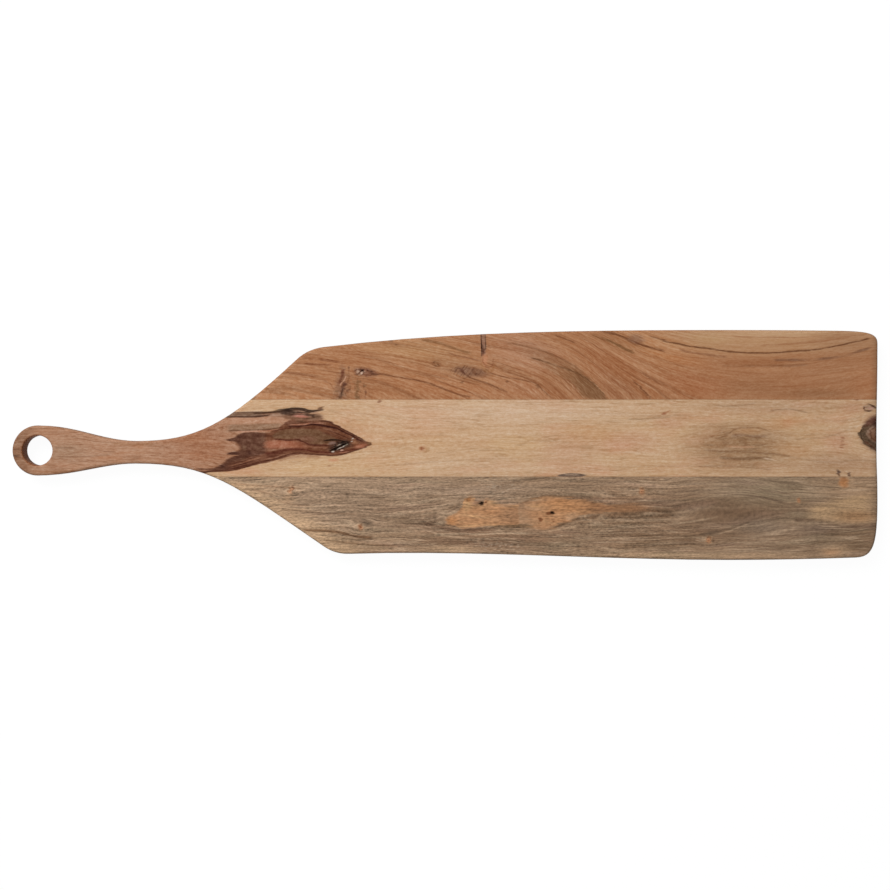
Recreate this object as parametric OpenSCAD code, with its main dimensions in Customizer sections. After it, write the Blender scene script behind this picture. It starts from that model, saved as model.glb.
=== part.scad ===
// Paddle serving board: three planks edge-glued to a panel, sawn to a paddle outline,
// drilled for hanging and rounded over on every edge.
// Millimetres, +Z up. X runs from the handle's tip to the blade's end, the rear edge is +Y.
// The origin is the middle of the underside's bounding box.

/* [Panel] */
// Overall length, from the handle's tip to the blade's end
board_l = 914; // [860:1:1060]
// Thickness of the planks
board_t = 19; // [12:0.5:32]
// Width of the rear plank at the blade's widest place
rear_plank_w = 73.4; // [55:0.1:110]
// Width of the middle plank, which also gives the handle
middle_plank_w = 81.2; // [75:0.1:120]
// Width of the front plank at the blade's widest place
front_plank_w = 88; // [60:0.1:120]
// Thickness of a cured glue film
glue_t = 0.2; // [0.1:0.05:0.5]
// Radius of the roundover along the outline, on both faces
edge_round = 2.5; // [0.5:0.25:4]

/* [Handle] */
// Diameter of the hanging hole
hole_d = 32; // [16:0.5:38]
// Wood left around the hole, from the bore to the handle's end
ring_w = 10.5; // [8:0.5:13]
// Radius of the hole's eased lips
hole_lip = 1.5; // [0.5:0.25:3]
// Wood between the handle's front side and the front glue line's plane
handle_inset = 1; // [0.5:0.5:6]
// Width of the neck at its narrowest place
neck_w = 23.9; // [18:0.1:40]
// Distance from the handle's tip to the narrowest place
neck_from_tip = 130; // [110:1:150]
// Set of the neck towards the front, from the hole's axis
neck_set = 1.9; // [0:0.1:4]

/* [Rear edge] */
// Distance from the handle's tip to the rear shoulder's corner
rear_shoulder_from_tip = 312; // [295:1:340]
// Distance from the blade's widest line in to the rear shoulder's corner
rear_shoulder_in = 20; // [10:0.5:28]
// Slope of the rear shoulder, from the length of the board
rear_shoulder_angle = 43; // [35:1:48]
// Length of the rear shoulder's rounding, each way from its corner
rear_shoulder_blend = 16.5; // [8:0.5:24]
// Slope at which the rear edge leaves its shoulder
rear_lead_angle = 7; // [0:0.5:9]
// Straightness of the flare as it leaves the neck on the rear side
rear_neck_pull = 63; // [40:1:80]
// Straightness of the flare as it reaches the rear shoulder
rear_shoulder_pull = 103; // [70:1:115]
// Taper of the rear edge towards the blade's end
rear_end_draw = 0.7; // [0.2:0.1:4]
// Length of the rear end corner's rounding along the rear edge
rear_corner_along = 44; // [12:1:60]
// Length of the rear end corner's rounding along the end
rear_corner_down = 13.5; // [8:0.5:40]

/* [Front edge] */
// Distance from the handle's tip to the front shoulder's corner
front_shoulder_from_tip = 341; // [320:1:365]
// Distance from the blade's widest line in to the front shoulder's corner
front_shoulder_in = 6; // [3:0.5:14]
// Slope of the front shoulder, from the length of the board
front_shoulder_angle = 34.5; // [30:0.5:40]
// Length of the front shoulder's rounding, each way from its corner
front_shoulder_blend = 14.5; // [8:0.5:24]
// Slope at which the front edge leaves its shoulder
front_lead_angle = -1.8; // [-2:0.1:3]
// Straightness of the flare as it leaves the neck on the front side
front_neck_pull = 78; // [50:1:95]
// Straightness of the flare as it reaches the front shoulder
front_shoulder_pull = 117; // [80:1:130]
// Taper of the front edge towards the blade's end
front_end_draw = 2.5; // [0.2:0.1:5]
// Length of the front end corner's rounding along the front edge
front_corner_along = 23; // [12:1:60]
// Length of the front end corner's rounding along the end
front_corner_down = 61; // [8:0.5:70]

/* [Blade end] */
// Distance from the blade's end to its widest place
widest_from_end = 158; // [110:1:220]
// Depth of the hollow in the middle of the end
end_hollow = 1; // [0:0.1:4]

/* [Hidden] */

// Segments of a quarter roundover, and points along each stretch of the outline
round_n = 3;
ring_n = 14;
swell_n = 12;
flare_n = 16;
shoulder_n = 7;
edge_n = 10;
taper_n = 4;
corner_n = 12;
end_n = 6;
half_n = ring_n + swell_n + flare_n + shoulder_n + edge_n + taper_n + corner_n + end_n;
corner_from = half_n - end_n - corner_n;
loop_n = 2 * half_n;
$fn = 64;

// How far a cutting body runs past the wood it cuts
over = 5;
// Shares of a stretch's length at which its curve keeps the slope of its ends
swell_pull = 0.37;
edge_pull = 0.33;
corner_pull = 0.8;
hollow_pull = 0.5;

board_w = rear_plank_w + middle_plank_w + front_plank_w + 2 * glue_t;
half_w = board_w / 2;
tip_x = -board_l / 2;
rear_joint_y = half_w - rear_plank_w;
front_joint_y = front_plank_w - half_w;

ring_r = hole_d / 2 + ring_w;
hole_x = tip_x + ring_r;
hole_y = front_joint_y + glue_t + handle_inset + ring_r;
neck_y = hole_y - neck_set;

function unit(v) = v / norm(v);
function heading(angle) = [cos(angle), sin(angle)];
function steps(p) = [for (i = [0 : len(p) - 2]) p[i + 1] - p[i]];
function curve_point(p, t) =
    len(p) == 1
        ? p[0]
        : curve_point([for (i = [0 : len(p) - 2]) p[i] * (1 - t) + p[i + 1] * t], t);

// A stretch of outline is a list of [point, outward normal], without its last point.
function curve(p, n) = [
    for (i = [0 : n - 1])
    let (d = unit(curve_point(steps(p), i / n)))
    [curve_point(p, i / n), [-d.y, d.x]]
];
function arc(centre, r, from, to, n) = [
    for (i = [0 : n - 1])
    let (out = heading(from + (to - from) * i / n))
    [centre + r * out, out]
];

// One side of the outline from the handle's tip to the middle of the end, drawn with that
// side's own direction as +Y: ring, swell to the neck, flare, shoulder, edge, taper, corner, end.
function side_path(axis, neck, corner, slope, blend, lead, pulls, draw, along, down) =
    let (
        ring_top = [hole_x, axis + ring_r],
        swell = [swell_pull * (neck.x - hole_x), 0],
        shoulder_in = corner - blend * heading(slope),
        shoulder_out = corner + blend * heading(lead),
        widest = [board_l / 2 - widest_from_end, half_w],
        edge = edge_pull * (widest.x - shoulder_out.x),
        corner_in = [board_l / 2 - along, half_w - draw],
        taper_mid = [(widest.x + corner_in.x) / 2, half_w],
        corner_out = [board_l / 2, half_w - draw - down],
        round_in = corner_in + corner_pull * along * unit(corner_in - taper_mid),
        round_out = corner_out + [0, corner_pull * down],
        end_mid = [board_l / 2 - end_hollow, 0],
        bend = [0, hollow_pull * corner_out.y]
    )
    concat(
        arc([hole_x, axis], ring_r, 180, 90, ring_n),
        curve([ring_top, ring_top + swell, neck - swell, neck], swell_n),
        curve([neck, neck + [pulls[0], 0], shoulder_in - pulls[1] * heading(slope), shoulder_in],
              flare_n),
        curve([shoulder_in, corner, shoulder_out], shoulder_n),
        curve([shoulder_out, shoulder_out + edge * heading(lead), widest - [edge, 0], widest],
              edge_n),
        curve([widest, taper_mid, corner_in], taper_n),
        curve([corner_in, round_in, round_out, corner_out], corner_n),
        curve([corner_out, corner_out - bend, end_mid + bend, end_mid], end_n)
    );

rear_path = side_path(
    axis = hole_y,
    neck = [tip_x + neck_from_tip, neck_y + neck_w / 2],
    corner = [tip_x + rear_shoulder_from_tip, half_w - rear_shoulder_in],
    slope = rear_shoulder_angle,
    blend = rear_shoulder_blend,
    lead = rear_lead_angle,
    pulls = [rear_neck_pull, rear_shoulder_pull],
    draw = rear_end_draw,
    along = rear_corner_along,
    down = rear_corner_down
);
front_path = side_path(
    axis = -hole_y,
    neck = [tip_x + neck_from_tip, neck_w / 2 - neck_y],
    corner = [tip_x + front_shoulder_from_tip, half_w - front_shoulder_in],
    slope = front_shoulder_angle,
    blend = front_shoulder_blend,
    lead = front_lead_angle,
    pulls = [front_neck_pull, front_shoulder_pull],
    draw = front_end_draw,
    along = front_corner_along,
    down = front_corner_down
);

// The closed outline: out along the front side, back along the rear side.
outline = concat(
    [for (p = front_path) [[p[0].x, -p[0].y], [p[1].x, -p[1].y]]],
    [[[board_l / 2 - end_hollow, 0], [1, 0]]],
    [for (i = [half_n - 1 : -1 : 1]) rear_path[i]]
);

// Levels of the roundover from the underside up, as [inset from the outline, height].
levels = concat(
    [for (i = [0 : round_n]) edge_round * [1 - sin(90 * i / round_n), 1 - cos(90 * i / round_n)]],
    [for (i = [round_n : -1 : 0])
        [edge_round * (1 - sin(90 * i / round_n)), board_t - edge_round * (1 - cos(90 * i / round_n))]]
);

// A hub inside the blade's end, between its two corners and the middle of the end.
hub = (outline[corner_from][0] + outline[loop_n - corner_from][0] + 2 * outline[half_n][0]) / 4;

// Triangles of a flat face, seen from above: rungs between the two sides as far as the end
// corners, then a fan around the hub. Points are numbered from the face's first point.
function face(first, hub_at) = concat(
    [for (i = [0 : corner_from - 1]) [first + i, first + i + 1, first + loop_n - i - 1]],
    [for (i = [1 : corner_from - 1]) [first + i, first + loop_n - i - 1, first + loop_n - i]],
    [for (i = [corner_from : loop_n - corner_from - 1]) [first + i, first + i + 1, hub_at]],
    [[first + loop_n - corner_from, first + corner_from, hub_at]]
);
function flip(f) = [for (i = [len(f) - 1 : -1 : 0]) f[i]];

// The whole panel after sawing and rounding over, before it is told apart into planks.
module board_blank() {
    last = len(levels) - 1;
    hub_at = len(levels) * loop_n;
    rims = [for (l = levels) for (p = outline) concat(p[0] - l[0] * p[1], l[1])];
    sides = [
        for (k = [0 : last - 1])
        for (i = [0 : loop_n - 1])
        let (j = (i + 1) % loop_n)
        [k * loop_n + i, (k + 1) * loop_n + i, (k + 1) * loop_n + j, k * loop_n + j]
    ];
    underside = face(0, hub_at);
    top = [for (f = face(last * loop_n, hub_at + 1)) flip(f)];
    polyhedron(
        points = concat(rims, [concat(hub, 0)], [concat(hub, board_t)]),
        faces = concat(sides, underside, top),
        convexity = 4
    );
}

// The part of the panel between two planes across its width.
module strip(from_y, to_y) {
    intersection() {
        board_blank();
        translate([tip_x - over, from_y, -over])
            cube([board_l + 2 * over, to_y - from_y, board_t + 2 * over]);
    }
}

// What the hole takes away: a straight bore whose lips open in a quarter round.
module hanging_hole() {
    bore_r = hole_d / 2;
    lip = [for (i = [0 : round_n]) hole_lip * [1 - cos(90 * i / round_n), sin(90 * i / round_n)]];
    translate([hole_x, hole_y, 0])
        rotate_extrude()
            polygon(concat(
                [[0, -over], [bore_r + hole_lip, -over]],
                [for (i = [round_n : -1 : 0]) [bore_r + lip[i].x, hole_lip - lip[i].y]],
                [for (l = lip) [bore_r + l.x, board_t - hole_lip + l.y]],
                [[bore_r + hole_lip, board_t + over], [0, board_t + over]]
            ));
}

module rear_plank() {
    color("#b27f58")
        strip(rear_joint_y, half_w + over);
}

module rear_glue_line() {
    color("#8a5f40")
        strip(rear_joint_y - glue_t, rear_joint_y);
}

module middle_plank() {
    color("#c9a680")
        difference() {
            strip(front_joint_y + glue_t, rear_joint_y - glue_t);
            hanging_hole();
        }
}

module front_glue_line() {
    color("#8a5f40")
        strip(front_joint_y, front_joint_y + glue_t);
}

module front_plank() {
    color("#a08164")
        strip(-half_w - over, front_joint_y);
}

rear_plank();
rear_glue_line();
middle_plank();
front_glue_line();
front_plank();
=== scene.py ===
import math
import random

import bmesh
import bpy
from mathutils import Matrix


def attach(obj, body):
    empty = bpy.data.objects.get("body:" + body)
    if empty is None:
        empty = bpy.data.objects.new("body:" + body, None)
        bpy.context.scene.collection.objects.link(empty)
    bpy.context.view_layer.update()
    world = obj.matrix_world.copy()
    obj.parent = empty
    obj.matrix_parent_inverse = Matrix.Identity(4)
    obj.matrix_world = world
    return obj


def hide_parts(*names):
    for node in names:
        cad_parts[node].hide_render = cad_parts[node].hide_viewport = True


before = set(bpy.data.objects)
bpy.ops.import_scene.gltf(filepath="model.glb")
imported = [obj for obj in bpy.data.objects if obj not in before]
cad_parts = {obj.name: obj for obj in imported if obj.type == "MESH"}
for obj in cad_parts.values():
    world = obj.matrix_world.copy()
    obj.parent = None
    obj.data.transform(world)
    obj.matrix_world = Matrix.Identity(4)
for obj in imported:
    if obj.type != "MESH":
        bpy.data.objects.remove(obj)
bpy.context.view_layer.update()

# Board and studio: lengths in metres, the sensor in millimetres and the key light in watts
TOP = 0.019
CAMERA_HEIGHT = 1.341
SEEN_WIDTH = 0.9389
SENSOR = 36.0
KEY_PLACE = (-1.0, 1.2, 1.65)
KEY_SIZE = 1.1
KEY_POWER = 36.4
SKY_LIGHT = 0.48
FLOOR_SIZE = 30.0
FLOOR_DROP = 0.0002
FLOOR_GREY = (0.06, 0.06, 0.06, 1)
FLOOR_GLOW = 0.955
WHITE = (1, 1, 1, 1)

# Places that the woods are drawn around, in millimetres
METRE = 1000.0
BLADE_END = 457.0
HOLE_X = -430.5
HOLE_Y = -5.8
HOLE_RADIUS = 16.0

# Finish: gloss, relief and its depth in metres, how much darker the end grain is, and how much shade is
# painted on eased edges and at the blade's end
GLOSS = 0.06
RELIEF = 0.25
RELIEF_DEPTH = 0.0002
EDGE_PAINTED_SHADE = 0.08
END_GRAIN_SHADE = 0.15
BLADE_END_PAINTED_SHADE = 0.3

# How far noises with seeds one apart lie from each other, in patches
SEED_STEP = (7.31, 3.17, 1.73)


def srgb(red, green, blue):
    """A colour written as 0 to 255 in sRGB, as linear light."""
    def linear(value):
        value /= 255
        return value / 12.92 if value <= 0.04045 else ((value + 0.055) / 1.055) ** 2.4
    return linear(red), linear(green), linear(blue), 1.0


# Colours of the three woods, written as 0 to 255 in sRGB
REDDISH = (169, 119, 84)
REDDISH_PALE = (190, 141, 104)
REDDISH_YELLOW = (181, 138, 99)
REDDISH_DEEP = (150, 97, 62)
REDDISH_LINE = (104, 60, 34)
REDDISH_MAUVE = (130, 92, 70)
OLIVE = (116, 82, 54)
BARK = (94, 58, 40)
BLACK_KNOT = (34, 18, 9)
SAPWOOD = (199, 163, 128)
SAPWOOD_PINK = (199, 152, 119)
SAPWOOD_YELLOW = (202, 166, 126)
SAPWOOD_PALE = (207, 176, 147)
SAPWOOD_GREY = (152, 117, 86)
SAPWOOD_LINE = (160, 122, 90)
HEARTWOOD = (173, 131, 104)
HEART_RED = (112, 70, 48)
HEART_PURPLE = (90, 57, 43)
HEART_SALMON = (160, 100, 75)
HEART_GREY = (111, 79, 56)
HEART_PINK = (172, 118, 94)
HEART_LINE = (78, 40, 25)
MAROON = (56, 21, 14)
STREAK_GREY = (118, 92, 74)
STREAK_DARK = (74, 48, 34)
STREAK_PALE = (174, 136, 112)
GREY_BROWN = (152, 124, 99)
GREY_PALE = (186, 158, 130)
GREY_DEEP = (116, 90, 68)
GREY_GREEN = (134, 117, 94)
GREY_MAUVE = (150, 118, 100)
TAN = (194, 160, 126)
LOBE = (186, 136, 96)
LOBE_BROWN = (138, 101, 73)
ORANGE_KNOT = (176, 118, 80)


def feed(socket, value):
    """Links a field to a socket, or sets a plain number or colour on it."""
    if isinstance(value, Field):
        socket.id_data.links.new(value.socket, socket)
    else:
        socket.default_value = value


class Field:
    """A value that changes over the wood: a node's output, with sums that add Math nodes."""

    def __init__(self, socket):
        self.socket = socket
        self.tree = socket.id_data

    def math(self, operation, *others):
        node = self.tree.nodes.new("ShaderNodeMath")
        node.operation = operation
        for socket, value in zip(node.inputs, (self, *others)):
            feed(socket, value)
        return Field(node.outputs[0])

    def __add__(self, other):
        return self.math("ADD", other)

    def __sub__(self, other):
        return self.math("SUBTRACT", other)

    def __rsub__(self, other):
        return self.math("MULTIPLY_ADD", -1.0, other)

    def __mul__(self, other):
        return self.math("MULTIPLY", other)

    def __truediv__(self, other):
        return self.math("DIVIDE", other)

    def __abs__(self):
        return self.math("ABSOLUTE")

    __radd__ = __add__
    __rmul__ = __mul__

    def most(self, other):
        return self.math("MAXIMUM", other)

    def step(self, low, high):
        """A smooth rise from 0 at low to 1 at high; with low above high it falls instead."""
        node = self.tree.nodes.new("ShaderNodeMapRange")
        node.interpolation_type = "SMOOTHSTEP"
        feed(node.inputs["Value"], self)
        feed(node.inputs["From Min"], low)
        feed(node.inputs["From Max"], high)
        return Field(node.outputs["Result"])

    def within(self, start, end, fade):
        """1 between two values, fading out at both ends."""
        return self.step(start, start + fade) * self.step(end, end - fade)

    def thin(self, width):
        """1 near 0, for the distance from a line of the given half width."""
        return self.step(width * 1.4, width * 0.2)


class Wood:
    """One plank's material. Places are in board millimetres: x along, y across, z up."""

    def __init__(self, name, colour):
        self.material = bpy.data.materials.new(name)
        self.material.use_nodes = True
        self.tree = self.material.node_tree
        self.tree.nodes.clear()
        self.colour = srgb(*colour)
        split = self.add("ShaderNodeSeparateXYZ")
        place = self.add("ShaderNodeTexCoord").outputs["Object"]
        self.tree.links.new(place, split.inputs[0])
        self.x, self.y, self.z = (Field(axis) * METRE for axis in split.outputs)
        self.across = self.y
        # Drawn marks wander a little, so that no edge is as straight as a ruler
        self.drawn_x = self.x + self.noise(24, 2.2, seed=91) * 1.6
        self.drawn_y = self.y + self.noise(30, 9, seed=92) * 0.5 + self.noise(9, 2.5, seed=93) * 0.3
        self.drawn = self.vector(self.drawn_x, self.drawn_y)
        self.across = self.y + self.noise(130, 40, seed=94) * 2.0
        self.height = None

    def add(self, kind):
        return self.tree.nodes.new(kind)

    def vector(self, *axes):
        """Fields for x, y and z joined to one vector."""
        node = self.add("ShaderNodeCombineXYZ")
        for socket, axis in zip(node.inputs, axes):
            feed(socket, axis)
        return Field(node.outputs[0])

    def mapped(self, kind, vector, place, scale, turn=0.0):
        """A vector moved, turned by degrees and scaled."""
        node = self.add("ShaderNodeMapping")
        node.vector_type = kind
        feed(node.inputs["Vector"], vector)
        node.inputs["Location"].default_value = place
        node.inputs["Rotation"].default_value[2] = math.radians(turn)
        node.inputs["Scale"].default_value = scale
        return Field(node.outputs[0])

    def noise(self, length, width, seed, detail=2.0, roughness=0.5, across=None):
        """Noise around 0, mostly within -1 to 1, in patches of length by width along the grain."""
        grain = self.vector(self.x, across or self.across, self.z)
        start = [seed * step for step in SEED_STEP]
        place = self.mapped("POINT", grain, start, (1 / length, 1 / width, 1 / width))
        node = self.add("ShaderNodeTexNoise")
        feed(node.inputs["Vector"], place)
        node.inputs["Scale"].default_value = 1.0
        node.inputs["Detail"].default_value = detail
        node.inputs["Roughness"].default_value = roughness
        return Field(node.outputs[0]).math("MULTIPLY_ADD", 4.0, -2.0)

    def curve(self, points, source):
        """A smooth curve through the points (source, value)."""
        starts, values = zip(*points)
        low, high = min(values), max(values)
        rise = max(high - low, 0.001)
        span = starts[-1] - starts[0]
        share = source.math("MULTIPLY_ADD", 1 / span, -starts[0] / span)
        node = self.add("ShaderNodeFloatCurve")
        line = node.mapping.curves[0]
        spots = [((s - starts[0]) / span, (v - low) / rise) for s, v in points]
        for knot, spot in zip(line.points, (spots[0], spots[-1])):
            knot.location = spot
        for spot in spots[1:-1]:
            line.points.new(*spot)
        node.mapping.extend = "HORIZONTAL"
        node.mapping.update()
        feed(node.inputs["Value"], share)
        return Field(node.outputs[0]).math("MULTIPLY_ADD", rise, low)

    def within(self, start, end, fade):
        """1 between two places along the board, fading out at both ends."""
        return self.drawn_x.within(start, end, fade)

    def line(self, points, width, fade=6.0):
        """1 on a line of the given half width, drawn along the board through points (x, y)."""
        distance = abs(self.drawn_y - self.curve(points, self.drawn_x))
        return distance.thin(width) * self.within(points[0][0], points[-1][0], fade)

    def band(self, top, bottom, soft=1.5, fade=6.0, ragged=None):
        """1 between a top and a bottom edge, each drawn along the board through points (x, y)."""
        below = self.curve(top, self.drawn_x) - self.drawn_y
        above = self.drawn_y - self.curve(bottom, self.drawn_x)
        if ragged:
            below, above = below + ragged, above + ragged
        below, above = below.step(-soft, soft), above.step(-soft, soft)
        ends = self.within(max(top[0][0], bottom[0][0]), min(top[-1][0], bottom[-1][0]), fade)
        return below * above * ends

    def spot(self, x, y, length, width, turn=0.0, soft=0.35):
        """1 inside an ellipse of the given half sizes, turned anticlockwise by degrees."""
        return self.from_spot(x, y, length, width, turn).step(1 + soft, 1 - soft)

    def from_spot(self, x, y, length, width, turn=0.0):
        """How far out from an ellipse's middle: 1 on its rim, up to 3."""
        size = length * 3.0, width * 3.0, 1.0
        place = self.mapped("TEXTURE", self.drawn, (x, y, 0), size, turn)
        node = self.add("ShaderNodeTexGradient")
        node.gradient_type = "SPHERICAL"
        feed(node.inputs["Vector"], place)
        return Field(node.outputs["Fac"]).math("MULTIPLY_ADD", -3.0, 3.0)

    def bend(self, points, fan, middle):
        """Lets the grain follow a drawn line at y = middle, shallower above it and steeper below it."""
        rise = self.y - middle
        self.across = self.across + rise * rise * (fan / 2.0) - self.curve(points, self.x)

    def part_grain(self, x, y, length, width, push=0.7):
        """Leads the grain round a knot."""
        out = self.from_spot(x, y, length, width)
        near = (out * out * -1.0).math("EXPONENT")
        self.across = self.across + (y - self.y) * near * push

    def paint(self, mask, colour, strength=1.0):
        """Lays a colour over what is painted so far, where the mask is 1."""
        amount = mask * strength if strength < 1 else mask
        node = self.add("ShaderNodeMix")
        node.data_type = "RGBA"
        feed(node.inputs[0], amount)
        feed(node.inputs[6], self.colour)
        feed(node.inputs[7], srgb(*colour))
        self.colour = Field(node.outputs[2])

    def strokes(self, lines, mask=None):
        """Paints lines given as points, half width, colour and strength."""
        for points, width, colour, strength in lines:
            line = self.line(points, width)
            self.paint(line * mask if mask else line, colour, strength)

    def upright_strokes(self, lines, fade=3.0):
        """Paints lines across the board given as points (y, x), half width, colour and strength."""
        for points, width, colour, strength in lines:
            distance = abs(self.x - self.curve(points, self.y))
            ends = self.y.within(points[0][0], points[-1][0], fade)
            self.paint(distance.thin(width) * ends, colour, strength)

    def spots(self, places, soft=0.6):
        """Paints ellipses given as x, y, half length, half width, colour, strength and a turn, if any."""
        for x, y, length, width, colour, strength, *turn in places:
            self.paint(self.spot(x, y, length, width, *turn, soft=soft), colour, strength)

    def shade(self, factor):
        """Scales the colour painted so far."""
        node = self.add("ShaderNodeVectorMath")
        node.operation = "SCALE"
        feed(node.inputs[0], self.colour)
        feed(node.inputs["Scale"], factor)
        self.colour = Field(node.outputs[0])

    def soak(self, density):
        """Makes the dye in the wood denser above 1: darker and stronger in colour at once."""
        node = self.add("ShaderNodeGamma")
        feed(node.inputs["Color"], self.colour)
        feed(node.inputs["Gamma"], density)
        self.colour = Field(node.outputs[0])

    def growth_lines(self, length, width, seed):
        """Thin lines that run with the grain, some strong and some faint."""
        ridge = abs(self.noise(length, width, seed))
        return ridge.step(0.2, 0.02) * self.noise(length * 0.3, width, seed + 1).step(-0.8, 0.8)

    def fibres(self, streaks, threads, hairs, flecks, seed):
        """How much denser the wood is in its streaks, threads, thin hairs, short flecks and pores."""
        wide = self.noise(150, 7, seed)
        fine = self.noise(48, 2.6, seed + 1, detail=3.0, roughness=0.6)
        thin = self.noise(26, 1.3, seed + 4, detail=1.0)
        short = self.noise(4.2, 1.2, seed + 2, roughness=0.7)
        pores = self.noise(8, 0.6, seed + 3, detail=1.0).step(0.6, 1.2)
        self.height = pores * -1.0 - fine * 0.4
        return wide * streaks + fine * threads + thin * hairs + short * flecks + pores * (threads * 0.8)

    def finish(self, roughness=0.58):
        """Darkens the end grain, paints shade on the eased edges and at the blade's end, and joins it all
        to the shader.
        """
        normal = self.add("ShaderNodeSeparateXYZ")
        self.tree.links.new(self.add("ShaderNodeNewGeometry").outputs["Normal"], normal.inputs[0])
        level = abs(Field(normal.outputs[2]))
        end_grain = abs(Field(normal.outputs[0]))
        # Painted shade: the eased edges and the blade's last ten millimetres are darkened as if in shade;
        # the end grain is darker wood
        painted_end_shade = self.x.step(BLADE_END - 10, BLADE_END + 1) * BLADE_END_PAINTED_SHADE
        edges = 1.0 - level.step(0.9, 0.3) * EDGE_PAINTED_SHADE
        self.shade(edges - end_grain.step(0.5, 1.0) * END_GRAIN_SHADE - painted_end_shade)
        shader = self.add("ShaderNodeBsdfPrincipled")
        out = self.add("ShaderNodeOutputMaterial")
        bump = self.add("ShaderNodeBump")
        bump.inputs["Strength"].default_value = RELIEF
        bump.inputs["Distance"].default_value = RELIEF_DEPTH
        feed(bump.inputs["Height"], self.height)
        feed(shader.inputs["Base Color"], self.colour)
        feed(shader.inputs["Roughness"], self.height * -0.06 + roughness)
        shader.inputs["Specular IOR Level"].default_value = GLOSS
        self.tree.links.new(bump.outputs[0], shader.inputs["Normal"])
        self.tree.links.new(shader.outputs[0], out.inputs["Surface"])
        return self.material


# Reddish rear plank: the lie of its grain, its broad patches, and its dark grain lines
REAR_GRAIN = ((-205, 0), (-120, -9), (0, -33), (60, -50), (100, -63), (130, -78), (150, -91), (170, -105.6),
              (190, -119), (215, -133), (250, -146), (280, -152), (310, -154.5), (340, -155), (390, -153),
              (457, -146))
REAR_PATCHES = (
    (-165, 58, 42, 14, REDDISH_PALE, 0.55), (-120, 92, 40, 8, REDDISH_DEEP, 0.3),
    (-35, 101, 46, 10, REDDISH_YELLOW, 0.75, -6), (10, 84, 24, 8, (160, 120, 88), 0.5, -10),
    (0, 60, 44, 9, (172, 116, 80), 0.5, -8), (85, 98, 34, 16, (180, 133, 104), 0.8, -14),
    (85, 60, 30, 9, (170, 118, 86), 0.5, -10), (176, 86, 34, 16, (160, 103, 68), 0.6, -30),
    (226, 103, 36, 13, (182, 124, 82), 0.8, -20), (262, 64, 34, 14, (162, 103, 68), 0.6, -10),
    (350, 110, 110, 13, (186, 145, 108), 0.9), (280, 112, 18, 7, (184, 146, 106), 0.6),
    (410, 78, 50, 24, (166, 118, 84), 0.7), (122, 60, 26, 12, (150, 99, 66), 0.6, -30),
    (184, 58, 24, 11, (144, 95, 65), 0.65, -40), (446, 66, 16, 14, (172, 118, 82), 0.6),
    (390, 54, 34, 5, (142, 102, 72), 0.5), (350, 117.5, 100, 4, (200, 164, 128), 0.6),
    (350, 103, 90, 4, (178, 134, 98), 0.5), (176, 109, 26, 8, (146, 98, 64), 0.5, -15),
    (426, 110, 30, 10, (158, 116, 86), 0.45), (326, 60, 30, 10, (148, 102, 70), 0.5),
)
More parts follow.
